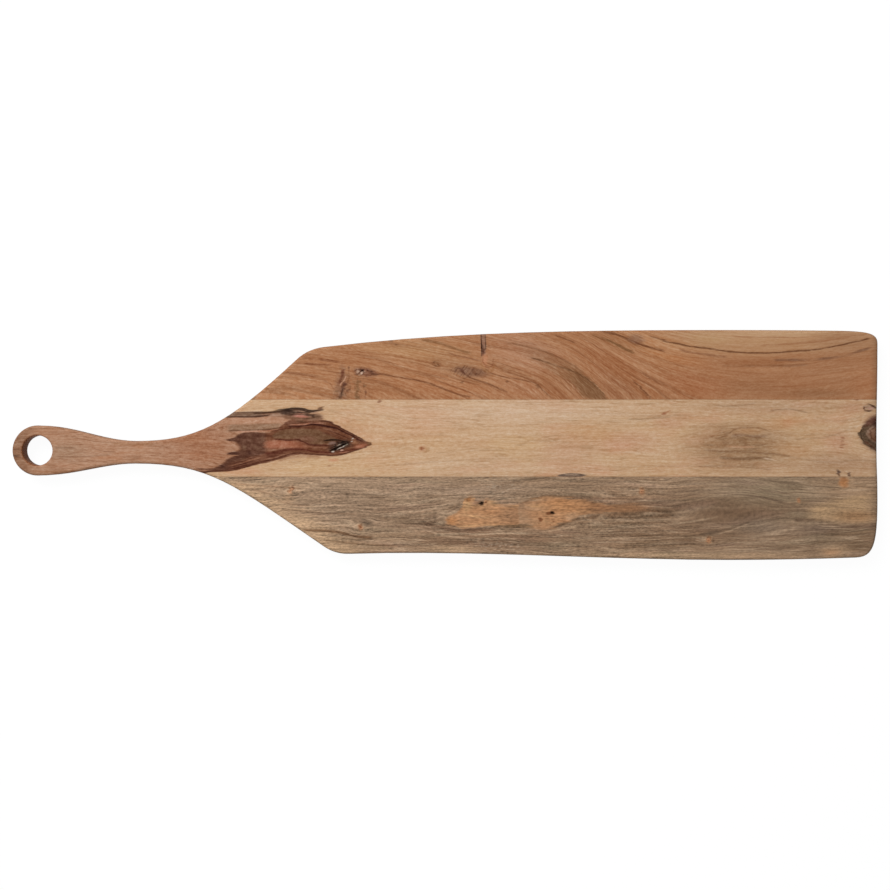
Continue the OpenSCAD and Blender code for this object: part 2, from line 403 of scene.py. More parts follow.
REAR_LINES = (
    (((-78, 76), (-40, 70), (-20, 66), (0, 58.5), (15, 53), (30, 50.5)), 1.1, REDDISH_LINE, 0.7),
    (((-28, 111), (-10, 108), (0, 105.2), (12, 101), (20, 98.5), (30, 96)), 1.8, (120, 80, 48), 0.7),
    (((0, 98.8), (12, 94.6), (20, 93), (30, 90.6), (40, 89)), 0.9, (128, 78, 50), 0.7),
    (((14, 80), (19, 76.4), (24, 72.6), (36, 67.6), (44, 65), (56, 59.5), (68, 55.5)),
     1.1, REDDISH_LINE, 0.8),
    (((40, 79), (50, 75.2), (62, 72), (72, 70.5), (86, 67.5), (97, 64), (106, 55), (112, 49)),
     1.0, REDDISH_LINE, 0.7),
    (((-168, 77), (-140, 72), (-125, 67), (-118, 60.5), (-114, 56)), 1.0, (132, 82, 54), 0.6),
    (((-152, 92), (-138, 90.5), (-122, 89), (-108, 87)), 1.3, (124, 74, 46), 0.85),
    (((-150, 86), (-135, 85), (-118, 84.5)), 1.2, (124, 74, 46), 0.8),
    (((-120, 99), (-90, 97.5), (-60, 94), (-30, 90), (0, 85)), 1.2, REDDISH_DEEP, 0.6),
    (((-70, 84), (-45, 80), (-20, 76), (5, 70)), 1.2, REDDISH_DEEP, 0.6),
    (((-90, 60), (-55, 57), (-35, 54), (-15, 49)), 1.4, REDDISH_DEEP, 0.6),
    (((62, 108), (85, 104.5), (105, 98.5), (120, 92), (135, 84.5), (148, 75)), 1.3, (126, 86, 58), 0.6),
    (((88, 93), (105, 88), (118, 83.4), (130, 79.6), (140, 75.4), (150, 69.6), (158, 63.4), (166, 55),
     (172, 47)), 1.2, (102, 68, 42), 0.75),
    (((112, 118), (122, 114), (130, 110.5), (140, 106.5)), 1.2, REDDISH_LINE, 0.65),
    (((122, 72), (129, 68), (136, 61.5), (143, 52)), 1.0, (130, 76, 48), 0.7),
    (((126, 69.5), (132, 64.5), (139, 57)), 0.8, REDDISH_PALE, 0.6),
    (((154, 117), (165, 112.5), (172, 110), (182, 105.5), (192, 100.5), (202, 96)),
     1.8, (104, 68, 36), 0.75),
    (((162, 120), (180, 117), (190, 113), (205, 106.5), (218, 102.5), (234, 99)), 1.5, REDDISH_LINE, 0.8),
    (((213, 116), (222, 113), (236, 109)), 1.3, (98, 56, 30), 0.75),
    (((170, 96), (185, 88), (200, 79), (214, 72)), 1.0, REDDISH_DEEP, 0.6),
    (((196, 70), (205, 61.5), (212, 55), (220, 47)), 1.5, REDDISH_LINE, 0.7),
    (((204, 79), (216, 71), (232, 61), (248, 52)), 1.2, (124, 76, 46), 0.6),
    (((244, 101.5), (262, 97.6), (275, 95.6), (300, 92.5)), 1.5, (122, 74, 46), 0.65),
    (((290, 86), (320, 83.5), (350, 83.5), (385, 85)), 1.6, (126, 86, 60), 0.5),
    (((345, 90), (385, 90.2), (405, 91.5), (420, 94), (432, 97.5), (452, 103)), 1.6, (116, 80, 60), 0.7),
    (((300, 116), (340, 113.5), (380, 114), (420, 117)), 1.0, REDDISH_DEEP, 0.5),
    (((330, 105), (370, 107), (400, 110), (430, 115)), 1.0, REDDISH_DEEP, 0.5),
)
REAR_LONG_LINES = (
    (((228, 110), (245, 107), (262, 103.6), (282, 101.2), (300, 98.6), (320, 97.5), (348, 97.5),
     (362, 98.7), (388, 100.6), (405, 103), (420, 106), (450, 113)), 1.0, (98, 58, 33), 0.85),
    (((-84, 77), (-60, 73.6), (-40, 70), (-20, 66), (0, 58.5), (15, 53), (30, 50.5)),
     0.9, (118, 72, 44), 0.45),
)


def reddish_wood():
    """The rear plank's wood, with grain that sweeps down across it."""
    wood = Wood("reddish_wood", REDDISH)
    wood.bend(REAR_GRAIN, fan=0.013, middle=84.0)
    wood.part_grain(-87, 77, 14, 6)
    wood.part_grain(28, 77, 22, 7)
    wood.part_grain(-9, 86, 9, 5)
    wood.spots(REAR_PATCHES, soft=0.9)
    wood.paint(wood.noise(120, 14, seed=1).step(0.0, 1.2), REDDISH_DEEP, 0.55)
    wood.paint(wood.noise(140, 11, seed=2).step(0.1, 1.3), REDDISH_PALE, 0.6)
    rings = wood.noise(300, 5, seed=3, detail=3.0)
    wood.paint(rings.step(0.1, 1.1), REDDISH_DEEP, 0.55)
    wood.paint(rings.step(-0.3, -1.2), REDDISH_PALE, 0.4)
    lively = wood.x.step(330, 200)
    wood.paint(wood.growth_lines(240, 9, seed=5) * lively, REDDISH_LINE, 0.4)
    wood.paint(wood.growth_lines(200, 6, seed=7) * lively, REDDISH_PALE, 0.4)
    diagonal = wood.band(((62, 108), (85, 104), (105, 98), (120, 91.5), (135, 83), (150, 72), (160, 62),
                          (172, 48)),
                         ((62, 100), (85, 92), (105, 82), (118, 74), (130, 66), (140, 58), (146, 51),
                          (172, 46)), soft=3.5, fade=4) * wood.x.step(62, 112)
    wood.paint(diagonal, OLIVE, 0.35)
    wood.paint(diagonal * wood.spot(154, 59, 28, 13, turn=-48, soft=0.7), OLIVE, 0.6)
    low = wood.band(((282, 93), (300, 89.5), (330, 91), (376, 90)),
                    ((282, 89), (300, 83), (330, 83), (376, 86)), soft=3, fade=20)
    wood.paint(low, REDDISH_DEEP, 0.6)
    wood.strokes(REAR_LINES, mask=wood.noise(22, 6, seed=9).step(-1.3, 0.4))
    wood.strokes(REAR_LONG_LINES, mask=wood.noise(9, 4, seed=19).step(-1.5, -0.1))
    rear_knots(wood)
    rear_split(wood)
    wood.soak(wood.fibres(0.05, 0.11, 0.1, 0.2, seed=10) * (lively * 0.4 + 0.6) + 1.0)
    return wood.finish()


def rear_knots(wood):
    """Knots and bark pockets of the reddish plank."""
    mottle = wood.noise(2.6, 2.6, seed=21, across=wood.y)
    upright = wood.noise(2.4, 11, seed=22, across=wood.y)
    bark = wood.spot(-109, 60, 6.5, 14, turn=-6, soft=0.8).most(wood.spot(-108, 74, 3, 9, soft=0.8))
    wood.paint(bark, REDDISH_MAUVE, 0.75)
    wood.paint(bark * (mottle + upright).step(-0.2, 1.0), (92, 58, 44), 0.5)
    patch = wood.spot(-92, 58, 12, 14, soft=0.8)
    wood.paint(patch, (156, 108, 76), 0.5)
    wood.paint(patch * (mottle + upright).step(-0.2, 1.0), (112, 76, 50), 0.6)
    wood.spots((
        (-106, 64, 2.2, 1.8, (92, 50, 38), 0.85), (-107.5, 58.5, 1.8, 2.2, BARK, 0.8),
        (-109, 53, 1.4, 2.6, (98, 72, 50), 0.8), (-110.5, 50, 1.8, 2, OLIVE, 0.8),
        (-108, 77.5, 1.6, 2, (116, 66, 44), 0.8), (-113.8, 56.5, 1.4, 1, OLIVE, 0.7),
        (-102.5, 58, 1.8, 1, BARK, 0.6, 20), (-92, 50.5, 2.4, 1.8, OLIVE, 0.7),
        (-84, 55.5, 1.4, 1.1, BARK, 0.6), (-84, 62.5, 1.8, 1.2, OLIVE, 0.6),
        (-90, 67, 1.8, 1.4, OLIVE, 0.5), (-101.5, 82, 1.2, 1.4, BARK, 0.6),
        (-102, 57.4, 2.4, 0.9, (108, 68, 48), 0.7, 35), (-114, 65, 1, 2.2, (120, 74, 52), 0.6),
    ))
    wood.upright_strokes((
        (((48, -110.6), (53, -110), (57, -108.6), (61, -108), (64, -106.4), (67, -107.6)),
         2.0, (100, 66, 50), 0.7),
        (((63, -111.4), (67, -111), (70, -109.8), (73, -108.6), (76, -108), (80, -107.4)),
         1.7, (108, 62, 42), 0.75),
        (((61, -110.8), (65, -109.6), (67.5, -107), (70, -105.6), (74, -104.4)),
         0.9, (194, 148, 120), 0.75),
        (((48, -92.6), (54, -93.6), (58, -92), (63, -92.6), (69, -91.6)), 2.2, (118, 84, 54), 0.6),
        (((59, -101.6), (66, -102.6), (72, -101), (78, -101.6), (84, -101)), 1.0, (130, 86, 58), 0.55),
        (((48, -84.4), (52, -84), (56, -83.4), (60, -86.4)), 1.0, (122, 76, 52), 0.5),
    ))
    eye = wood.from_spot(-84.5, 76.8, 11.5, 4.2, turn=-7) + mottle * 0.18
    wood.paint(eye.step(1.5, 0.6), (124, 82, 62), 0.9)
    slanted = wood.noise(3.0, 1.6, seed=24, across=wood.y - wood.x * 0.7)
    wood.paint(eye.step(1.2, 0.7) * slanted.step(0.0, 0.6), (80, 48, 34), 0.85)
    wood.paint(eye.step(1.0, 0.5) * slanted.step(-0.3, -0.9) * wood.x.step(-80, -86),
               (196, 164, 140), 0.8)
    # The three pale spots in this list, the glints of the eye knot, are partly pale wood and partly painted
    # highlights
    wood.spots((
        (-87.2, 78.5, 1.5, 1.2, (40, 16, 8), 1.0), (-75, 74.6, 4, 1.0, BARK, 0.8, -8),
        (-79, 77.4, 2.6, 1.2, BARK, 0.7, -15), (-92.5, 75, 1.8, 1.0, BARK, 0.7),
        (-91.8, 77.3, 1.7, 1.1, (190, 160, 138), 0.8, 40), (-88, 76, 1.3, 1.0, (206, 178, 156), 0.85, 50),
        (-90, 74.2, 1.3, 0.8, (172, 140, 112), 0.7),
    ))
    striped = wood.from_spot(28, 77, 17, 4.8, turn=-7)
    wood.paint(striped.step(1.5, 0.6), REDDISH_MAUVE, 0.85)
    stripes = wood.noise(9, 1.7, seed=23, across=wood.y * 0.6 - wood.x * 0.85)
    wood.paint(wood.spot(22, 77.5, 16, 6) * stripes.step(0.0, 0.6), BARK, 0.7)
    wood.paint(striped.step(1.0, 0.5) * stripes.step(-0.4, -1.0), (168, 128, 104), 0.7)
    wood.spots((
        (18, 78, 5, 1.5, (94, 56, 40), 0.85, -42), (43, 78.4, 2.4, 1.7, BARK, 0.75),
        (27.5, 75.3, 1.4, 1.2, BARK, 0.6), (33.5, 75, 1.6, 1.3, BARK, 0.6),
        (202, 112, 8, 4.5, REDDISH_MAUVE, 0.7, -10),
    ))
    small = (104, 64, 38)
    wood.spots((
        (-9, 86, 4.4, 3.4, small, 0.4), (-11, 87.5, 1.2, 1, small, 0.8),
        (-7, 85, 1.6, 1, small, 0.8, -30), (-10, 83.5, 1.4, 0.8, small, 0.7),
        (66, 67, 2, 0.9, small, 0.7, -20), (18.5, 66, 1.8, 1.2, small, 0.7, 20),
        (21, 70.4, 1.4, 0.8, small, 0.6), (-57, 109.5, 2.6, 1.6, small, 0.55),
        (-52, 106, 2, 1.2, small, 0.5), (98, 62, 2.4, 1.6, small, 0.55, -40),
    ))


def rear_split(wood):
    """The split at the reddish plank's rear edge, and the curled grain below it."""
    wood.upright_strokes((
        (((93, 40.6), (99, 40.8), (106, 40.7), (112, 40.5), (124, 40.4)), 2.6, (138, 106, 90), 0.7),
        (((92, 38), (98, 38.8), (104, 38.6), (110, 38.3), (124, 38)), 0.9, (88, 56, 42), 0.85),
        (((99, 43), (105, 43), (110, 42.7), (124, 42.4)), 0.8, (102, 72, 56), 0.75),
        (((93, 40), (97, 40.2), (101, 40)), 1.2, (104, 62, 42), 0.85),
    ))
    wood.spots((
        (38.7, 104, 0.9, 3, (66, 34, 20), 0.85), (40.2, 99.5, 1.7, 4.6, (78, 46, 34), 0.7),
        (42, 90, 3, 6, (188, 128, 94), 0.7),
    ))
    for size, colour in ((1.0, (134, 82, 52)), (1.45, (150, 100, 62))):
        loop = abs(wood.from_spot(45.5, 92, 6 * size, 10 * size, turn=4) - 1.0)
        wood.paint(loop.step(0.2, 0.04) * wood.drawn_y.step(95, 90) * wood.within(36, 54, 3), colour, 0.6)


# Pale middle plank: edges of its heartwood and of the dark tongue, and lines in both and in the handle
HEART_TOP = ((-262, 48), (-232, 40), (-222, 35), (-205, 35), (-190, 34), (-178, 32), (-165, 30.5),
             (-150, 29), (-140, 27.6), (-130, 26.4), (-122, 25), (-114, 21), (-105, 15.5), (-95, 10.5),
             (-86, 4.6), (-77, 1.6))
HEART_BOTTOM = ((-262, -40), (-250, -28.8), (-230, -28), (-222, -26.7), (-210, -23.6), (-200, -20.8),
                (-180, -16.3), (-165, -11.8), (-158, -10.4), (-150, -9.8), (-140, -10.6), (-130, -11.2),
                (-118, -11.4), (-105, -9.4), (-95, -6.4), (-85, -2.6), (-77, 1.4))
TONGUE_TOP = ((-270, 5.5), (-232, 6), (-222, 9), (-213, 12.6), (-205, 13.2), (-188, 13), (-180, 14.4),
              (-174, 19), (-166, 25), (-158, 27.4), (-150, 28), (-140, 27.4), (-130, 26.4), (-122, 25),
              (-114, 21), (-105, 15.5), (-95, 10.5), (-86, 4.6), (-77, 1.6))
TONGUE_LEFT = ((-29, -256), (-26, -248), (-22.5, -239), (-19.5, -234), (-15.5, -229), (-11.8, -222),
               (-10.7, -219), (-9.6, -229), (-8.6, -229), (-6.8, -219), (-4, -216), (0, -217), (3.4, -221),
               (5, -232), (6, -232), (7.6, -222), (10.5, -219), (12.6, -213))
TONGUE_TIP = (-77, -78)
HEART_LINES = (
    (((-168, 19.4), (-155, 19.7), (-145, 20.8), (-136, 21.6), (-130, 20.5), (-115, 17.4), (-108, 14.2),
     (-98, 9.5), (-93, 6.5), (-84, 2.4)), 1.2, MAROON, 0.9),
    (((-140, 21.6), (-132, 20.8), (-124, 19.4), (-112, 16.4)), 1.6, MAROON, 0.8),
    (((-134, 25.4), (-124, 24.4), (-115, 20.6), (-105, 15), (-98, 11.6), (-90, 7.2), (-82, 2.6)),
     0.9, (74, 42, 29), 0.9),
    (((-166, 21.4), (-150, 21.6), (-138, 23), (-126, 22)), 0.7, HEART_PINK, 0.7),
    (((-172, 23.6), (-160, 23), (-145, 24), (-134, 23.6)), 1.0, HEART_LINE, 0.7),
    (((-184, 14.4), (-172, 16), (-160, 17.6), (-148, 18), (-136, 17.4), (-126, 15)),
     0.9, HEART_LINE, 0.75),
    (((-128, 16.5), (-114, 12), (-106, 8.8), (-98, 5.6), (-88, 2.4)), 1.0, HEART_LINE, 0.75),
    (((-132, 13.6), (-124, 11.6), (-114, 9.6), (-106, 6.4)), 0.8, (92, 56, 40), 0.7),
    (((-182, 6.4), (-172, 5.4), (-164, 5.2), (-156, 6), (-151, 4.2), (-146, 1.8), (-140, 0),
     (-128, -0.6), (-120, -1)), 1.0, (78, 36, 24), 0.9),
    (((-192, -9.5), (-180, -8), (-168, -5.4), (-158, -4.4), (-148, -4.8), (-138, -6.8), (-128, -7.8),
     (-114, -8.4)), 1.2, (88, 40, 28), 0.85),
    (((-250, -27.4), (-230, -26.8), (-215, -24), (-200, -19.6), (-180, -15), (-165, -10.6), (-155, -8.6),
     (-145, -9), (-130, -10.6), (-116, -10.8), (-105, -8.8), (-95, -5.8), (-84, -2), (-78, 1)),
     0.9, HEART_LINE, 0.85),
    (((-116, -7), (-106, -6.6), (-97, -4.8), (-90, -3.4)), 0.9, (92, 42, 30), 0.8),
    (((-113, -8), (-107, -7.8), (-100, -6.6)), 0.6, HEART_PINK, 0.8),
    (((-130, 4.2), (-124, 4.8), (-117, 5.6), (-108, 4.6)), 1.0, (38, 20, 14), 0.9),
)
HANDLE_LINES = (
    (((-460, -11), (-453, -11.5), (-446, -12.5)), 1.8, (88, 58, 42), 0.85),
    (((-460, -6), (-452, -5), (-445, -6)), 0.8, (112, 76, 54), 0.7),
    (((-456, 8), (-448, 7), (-440, 9)), 0.8, (122, 86, 64), 0.6),
    (((-415, -2.5), (-400, -3), (-388, -2)), 0.8, (124, 92, 70), 0.6),
    (((-412, -11), (-390, -12.4), (-366, -11), (-350, -9)), 0.8, (130, 94, 70), 0.5),
    (((-398, 9), (-380, 6), (-362, 3), (-340, 2)), 0.8, (134, 94, 68), 0.5),
    (((-352, 1), (-336, 0.6), (-322, 0.8), (-306, 2)), 1.4, (144, 96, 62), 0.6),
    (((-372, -3), (-366, -5.4), (-358, -7), (-346, -7)), 0.7, (124, 86, 62), 0.5),
    (((-262, 15), (-250, 15.6), (-238, 16)), 0.9, (132, 84, 58), 0.6),
)


def pale_wood():
    """The middle plank's wood: pale sapwood, and heartwood from the handle."""
    wood = Wood("pale_wood", SAPWOOD)
    wood.part_grain(457, 12, 30, 26)
    wood.part_grain(-24, -4, 10, 6)
    wood.part_grain(-160, 8, 112, 36, push=0.8)
    wood.part_grain(310, 0, 50, 20, push=0.4)
    wood.paint(wood.noise(60, 18, seed=31).step(-0.1, 1.0), SAPWOOD_PINK, 0.75)
    wood.paint(wood.noise(70, 16, seed=32).step(0.0, 1.0), SAPWOOD_YELLOW, 0.6)
    wood.spots((
        (70, 36, 120, 13, SAPWOOD_PALE, 0.7), (20, -24, 110, 9, SAPWOOD_PALE, 0.4),
        (190, 4, 30, 9, (194, 146, 116), 0.6), (235, 24, 14, 7, (194, 146, 116), 0.5),
        (-95, -22, 60, 9, SAPWOOD_YELLOW, 0.5), (150, 14, 26, 10, (194, 150, 108), 0.6),
        (410, -21, 50, 11, (172, 136, 108), 0.7), (340, 41, 70, 7, (178, 142, 112), 0.6),
        (385, 12, 22, 14, (190, 152, 112), 0.5), (130, -6, 24, 14, (190, 144, 114), 0.5),
        (-20, 26, 26, 14, SAPWOOD_PINK, 0.5), (431, 39, 12, 5, (186, 138, 108), 0.6),
        (415, 4, 11, 10, (190, 142, 112), 0.7),
    ), soft=0.9)
    rings = wood.noise(170, 3.6, seed=39, detail=3.0)
    wood.paint(rings.step(0.2, 1.0), SAPWOOD_LINE, 0.35)
    wood.paint(wood.growth_lines(60, 4.5, seed=43), (164, 126, 90), 0.5)
    wood.paint(rings.step(-0.4, -1.1), SAPWOOD_PALE, 0.3)
    grey_patch(wood)
    above_edge, flow = heart(wood)
    layers = tongue(wood, above_edge, flow)
    tongue_bands(wood, layers)
    sapwood_streak(wood)
    tongue_knot(wood)
    end_knot(wood)
    pale_spots(wood)
    handle_end(wood)
    wood.soak(wood.fibres(0.04, 0.12, 0.05, 0.21, seed=44) + 1.0)
    return wood.finish()


def grey_patch(wood):
    """The greyish patch of disturbed grain in the blade's right half."""
    threads = wood.noise(16, 2.4, seed=33, detail=3.0, roughness=0.65)
    near = wood.spot(312, -2, 45, 22, soft=0.75)
    wood.paint(near, SAPWOOD_GREY, 0.8)
    wood.paint(near * threads.step(0.0, 0.9), (122, 90, 62), 0.7)
    wood.paint(near * threads.step(-0.3, -1.1), SAPWOOD, 0.6)
    wood.paint(near * wood.noise(18, 9, seed=45).step(0.2, 1.0), (134, 98, 70), 0.6)
    dark = (132, 98, 70)
    wood.strokes((
        (((272, -4), (290, -6.5), (315, -7), (340, -9), (366, -12)), 1.4, dark, 0.6),
        (((288, -12), (310, -14.6), (330, -14), (348, -16)), 2.0, (122, 90, 64), 0.7),
        (((300, 9), (312, 10.6), (326, 9), (342, 10)), 1.8, (134, 102, 80), 0.6),
        (((264, -24), (290, -22), (320, -24), (346, -26)), 1.2, dark, 0.35),
        (((282, 6), (296, 10), (310, 17.5), (326, 18), (344, 15)), 1.1, dark, 0.55),
        (((298, 6), (306, 8), (318, 6), (336, 7.5)), 1.8, dark, 0.5),
        (((296, -0.5), (312, -2.4), (330, -2)), 1.2, (190, 146, 114), 0.6),
        (((332, -13.6), (342, -15), (352, -16.6)), 0.8, SAPWOOD_PALE, 0.7),
        (((284, 44), (296, 41), (312, 42), (330, 46)), 1.2, dark, 0.3),
        (((340, 34), (360, 38), (374, 36), (386, 33)), 1.0, dark, 0.5),
        (((366, 6), (400, 8), (425, 16), (437, 20)), 1.1, dark, 0.25),
        (((352, -10), (380, -15), (410, -18), (436, -16), (456, -20)), 1.2, dark, 0.25),
        (((190, 27), (215, 28), (240, 30)), 1.1, (150, 116, 84), 0.5),
    ))
    orange = (190, 142, 100)
    wood.spots((
        (320, 15, 12, 3, orange, 0.35), (358, 24, 20, 6, orange, 0.6, 8),
        (362, 24, 5, 4, (184, 124, 84), 0.5), (366, -6, 16, 6, orange, 0.4, -10),
    ), soft=0.9)


def heart(wood):
    """The heartwood of handle and blade; gives the distance above its lower edge, and its flow."""
    top, bottom = wood.curve(HEART_TOP, wood.drawn_x), wood.curve(HEART_BOTTOM, wood.drawn_x)
    above_edge, below_edge = wood.drawn_y - bottom, top - wood.drawn_y
    flow = above_edge / (top - bottom) * 60.0
    wood.strokes((
        (((-178, -17.5), (-165, -13.4), (-150, -11.6), (-128, -12.4)), 2.4, (158, 116, 88), 0.7),
    ))
    all_heart = above_edge.step(-0.8, 0.8) * below_edge.step(-0.8, 0.8) * wood.drawn_x.step(*TONGUE_TIP)
    handle = wood.drawn_x.step(-258, -262)
    heartwood = all_heart.most(handle)
    wood.paint(heartwood, HEARTWOOD)
    wood.paint(heartwood * wood.noise(70, 9, seed=46).step(0.0, 1.0), (160, 122, 98), 0.7)
    wood.paint(heartwood * wood.noise(40, 7, seed=49).step(0.0, 1.0), (168, 114, 80), 0.6)
    wood.paint(heartwood * wood.growth_lines(70, 5, seed=47), (128, 86, 58), 0.6)
    flecks = wood.noise(7, 1.7, seed=35, detail=3.0, roughness=0.65)
    near_tongue = wood.x.step(-330, -270) * 0.7 + 0.2
    wood.paint(heartwood * near_tongue * flecks.step(0.0, 1.0), (122, 76, 48))
    wood.paint(heartwood * near_tongue * flecks.step(-0.4, -1.2), (190, 142, 112))
    wood.paint(all_heart * (wood.drawn_y - 22.0).step(-1.0, 1.5) * wood.drawn_x.step(-236, -222),
               (178, 134, 107), 0.8)
    wood.paint(heartwood * wood.spot(-256, 0, 34, 24, soft=0.9), (156, 104, 76), 0.5)
    olive = wood.band(((-232, 22), (-210, 22), (-186, 22.6), (-170, 23)),
                      ((-232, 15.4), (-210, 15.6), (-186, 16.6), (-170, 18.4)), soft=1.2, fade=8)
    wood.paint(olive, (139, 106, 82), 0.85)
    wood.strokes((
        (((-264, -24.4), (-252, -25.4), (-242, -24.4), (-230, -21)), 1.0, (92, 58, 44), 0.8),
        (((-262, -27), (-250, -28), (-236, -27.2)), 0.9, (104, 66, 50), 0.8),
        (((-231, 15.2), (-215, 15.3), (-200, 15.8), (-186, 16.6), (-170, 18.4)), 0.9, (92, 58, 38), 0.85),
        (((-222, 13.9), (-205, 14.2), (-190, 15), (-174, 16.4)), 0.7, HEART_PINK, 0.7),
    ))
    return above_edge, flow


def tongue(wood, above_edge, flow):
    """The dark tongue of heartwood in the pale blade, in layers that follow its flow."""
    edge = (wood.drawn_x - wood.curve(TONGUE_LEFT, wood.drawn_y)).step(-3.6, 3.8)
    under_top = wood.curve(TONGUE_TOP, wood.drawn_x) - wood.drawn_y
    dark = above_edge.step(-0.8, 0.8) * under_top.step(-1.0, 1.0) * edge * wood.drawn_x.step(*TONGUE_TIP)
    wood.paint(dark, HEART_RED)
    wood.paint(dark * wood.spot(-156, 25.5, 22, 3.6, soft=0.8), (128, 86, 66), 0.8)
    layers = wood.noise(90, 2.6, seed=36, across=flow, detail=2.0)
    wood.paint(dark * layers.step(0.1, 0.8), HEART_LINE, 0.7)
    wood.paint(dark * layers.step(-0.1, -0.8), (138, 94, 72), 0.75)
    purple = dark * (wood.drawn_x - wood.drawn_y.step(-7, -13) * 20.0).step(-186, -193)
    cloud = wood.noise(14, 6, seed=40)
    wood.paint(purple, HEART_PURPLE, 0.9)
    wood.paint(purple * cloud.step(0.1, 0.9), (66, 36, 28), 0.75)
    wood.paint(purple * cloud.step(-0.2, -1.0), (112, 80, 60), 0.75)
    seams = wood.noise(60, 1.7, seed=41, across=above_edge)
    low = dark * above_edge.step(11, 7) * wood.within(-236, -145, 14)
    wood.paint(low, (112, 70, 50), 0.7)
    wood.paint(low * seams.step(0.0, 0.5), (70, 34, 23), 0.85)
    wood.paint(low * seams.step(-0.1, -0.6), (142, 98, 74), 0.85)
    return layers


def tongue_bands(wood, layers):
    """The salmon and the grey-brown band inside the tongue, and its dark lines."""
    salmon = wood.band(((-193, 3.5), (-180, 4.4), (-165, 4.4), (-152, 3.4), (-138, -0.5)),
                       ((-193, -4), (-175, -3.8), (-160, -3.6), (-148, -4), (-138, -5)), soft=2.2, fade=9)
    wood.paint(salmon * wood.drawn_x.step(-134, -168), HEART_SALMON, 0.9)
    lens = wood.band(((-184, 9), (-176, 14), (-165, 16.4), (-150, 17), (-140, 16.4), (-128, 12.6),
                      (-112, 5)),
                     ((-184, 9), (-175, 6.6), (-156, 6.4), (-147, 3), (-140, 1), (-130, 0.5), (-112, 5)),
                     soft=1.4, fade=5)
    wood.paint(lens, HEART_GREY, 0.9)
    wood.paint(lens * layers.step(0.0, 0.9), (96, 66, 50), 0.5)
    wood.paint(wood.spot(-146, 6, 8, 3, soft=0.8), (128, 86, 68), 0.6)
    wood.strokes(HEART_LINES)
    wood.spots((
        (-224, -8.4, 5.5, 1.8, (62, 32, 22), 0.8, 8), (-178, -9, 12, 2.6, (82, 40, 26), 0.8, 16),
        (-89, -1, 6, 2, (170, 110, 84), 0.8, 10), (-96, 3, 5, 2.2, (150, 102, 74), 0.8, -20),
        (-80, 1.4, 2.4, 1.4, OLIVE, 0.8),
    ))


def sapwood_streak(wood):
    """The dark streak above the tongue, with its pale slivers and two prongs."""
    threads = wood.noise(22, 1.5, seed=37)
    grey = wood.band(((-245, 37), (-222, 34.4), (-205, 35.4), (-188, 35.4)),
                     ((-245, 29.3), (-222, 29.2), (-205, 29.2), (-188, 31.6)), soft=1.0, fade=5)
    wood.paint(grey, STREAK_GREY, 0.9)
    wood.paint(grey * threads.step(0.1, 0.8), STREAK_DARK, 0.45)
    haze = wood.band(((-196, 34), (-178, 35), (-165, 34), (-150, 33), (-134, 33), (-126, 30)),
                     ((-196, 30), (-178, 30), (-165, 27), (-150, 26), (-134, 26), (-126, 28)), soft=1.4)
    wood.paint(haze, (130, 94, 73), 0.95)
    dark = wood.band(((-203, 34.6), (-190, 35.2), (-178, 36), (-170, 38), (-160, 39), (-152, 38.8),
                      (-146, 37.4), (-140, 36.6), (-134, 37.6), (-127, 39.6)),
                     ((-203, 31.6), (-190, 33.4), (-178, 33.8), (-170, 31.6), (-160, 30.6), (-152, 32.6),
                      (-146, 33), (-140, 34.4), (-134, 35.4), (-127, 37)), soft=0.9, fade=4)
    wood.paint(dark, STREAK_DARK, 0.95)
    wood.paint(dark * threads.step(0.2, 1.0), (112, 78, 58), 0.6)
    black = (44, 30, 24)
    wood.strokes((
        (((-234, 29.6), (-215, 29.4), (-205, 29.6), (-192, 30.6), (-182, 32)), 1.0, (66, 38, 26), 0.9),
        (((-200, 33.2), (-186, 34.2), (-172, 35.4), (-160, 36.6)), 0.9, (64, 38, 24), 0.85),
        (((-186, 31), (-178, 31.4), (-170, 30.6)), 0.8, STREAK_PALE, 0.7),
        (((-164, 35.6), (-156, 35.4), (-145, 35)), 0.6, STREAK_PALE, 0.85),
        (((-165, 34.2), (-158, 34.2), (-148, 34)), 0.8, black, 0.9),
        (((-160, 32.6), (-152, 33), (-144, 32.8)), 0.8, (124, 80, 62), 0.8),
        (((-151, 33.6), (-145, 32.4), (-138, 31)), 1.0, (70, 46, 36), 0.85),
        (((-142, 29.6), (-136, 30.4), (-128, 30)), 0.9, (94, 68, 48), 0.8),
        (((-160, 25), (-153, 25), (-145, 23.6)), 1.1, (86, 60, 42), 0.75),
        (((-182, 35.6), (-168, 38), (-158, 38.6), (-148, 37.8), (-141, 36.4), (-131, 38.4)),
         1.0, black, 0.85),
        (((-160, 36.8), (-150, 36.2), (-142, 34.8), (-132, 36)), 0.9, black, 0.75),
        (((-176, 34.2), (-166, 32.6), (-156, 31.6), (-146, 31.4), (-132, 32.6)), 1.0, (72, 48, 36), 0.85),
        (((-232, 35), (-216, 34.6), (-202, 34.4), (-188, 35)), 0.9, (92, 66, 50), 0.8),
        (((-152, 27.6), (-144, 28), (-138, 28.8), (-130, 29)), 1.0, (98, 70, 52), 0.8),
    ))
    wood.spots((
        (-153, 30.3, 7.5, 1.3, (184, 124, 106), 0.9, -2), (-166, 35.4, 6, 2.6, black, 0.7, 6),
        (-139, 30.6, 1.6, 1.2, (58, 36, 26), 0.8), (-131, 39, 3.6, 1.1, BARK, 0.8, 25),
        (-137, 34.2, 5, 0.9, STREAK_PALE, 0.7, 8),
    ))


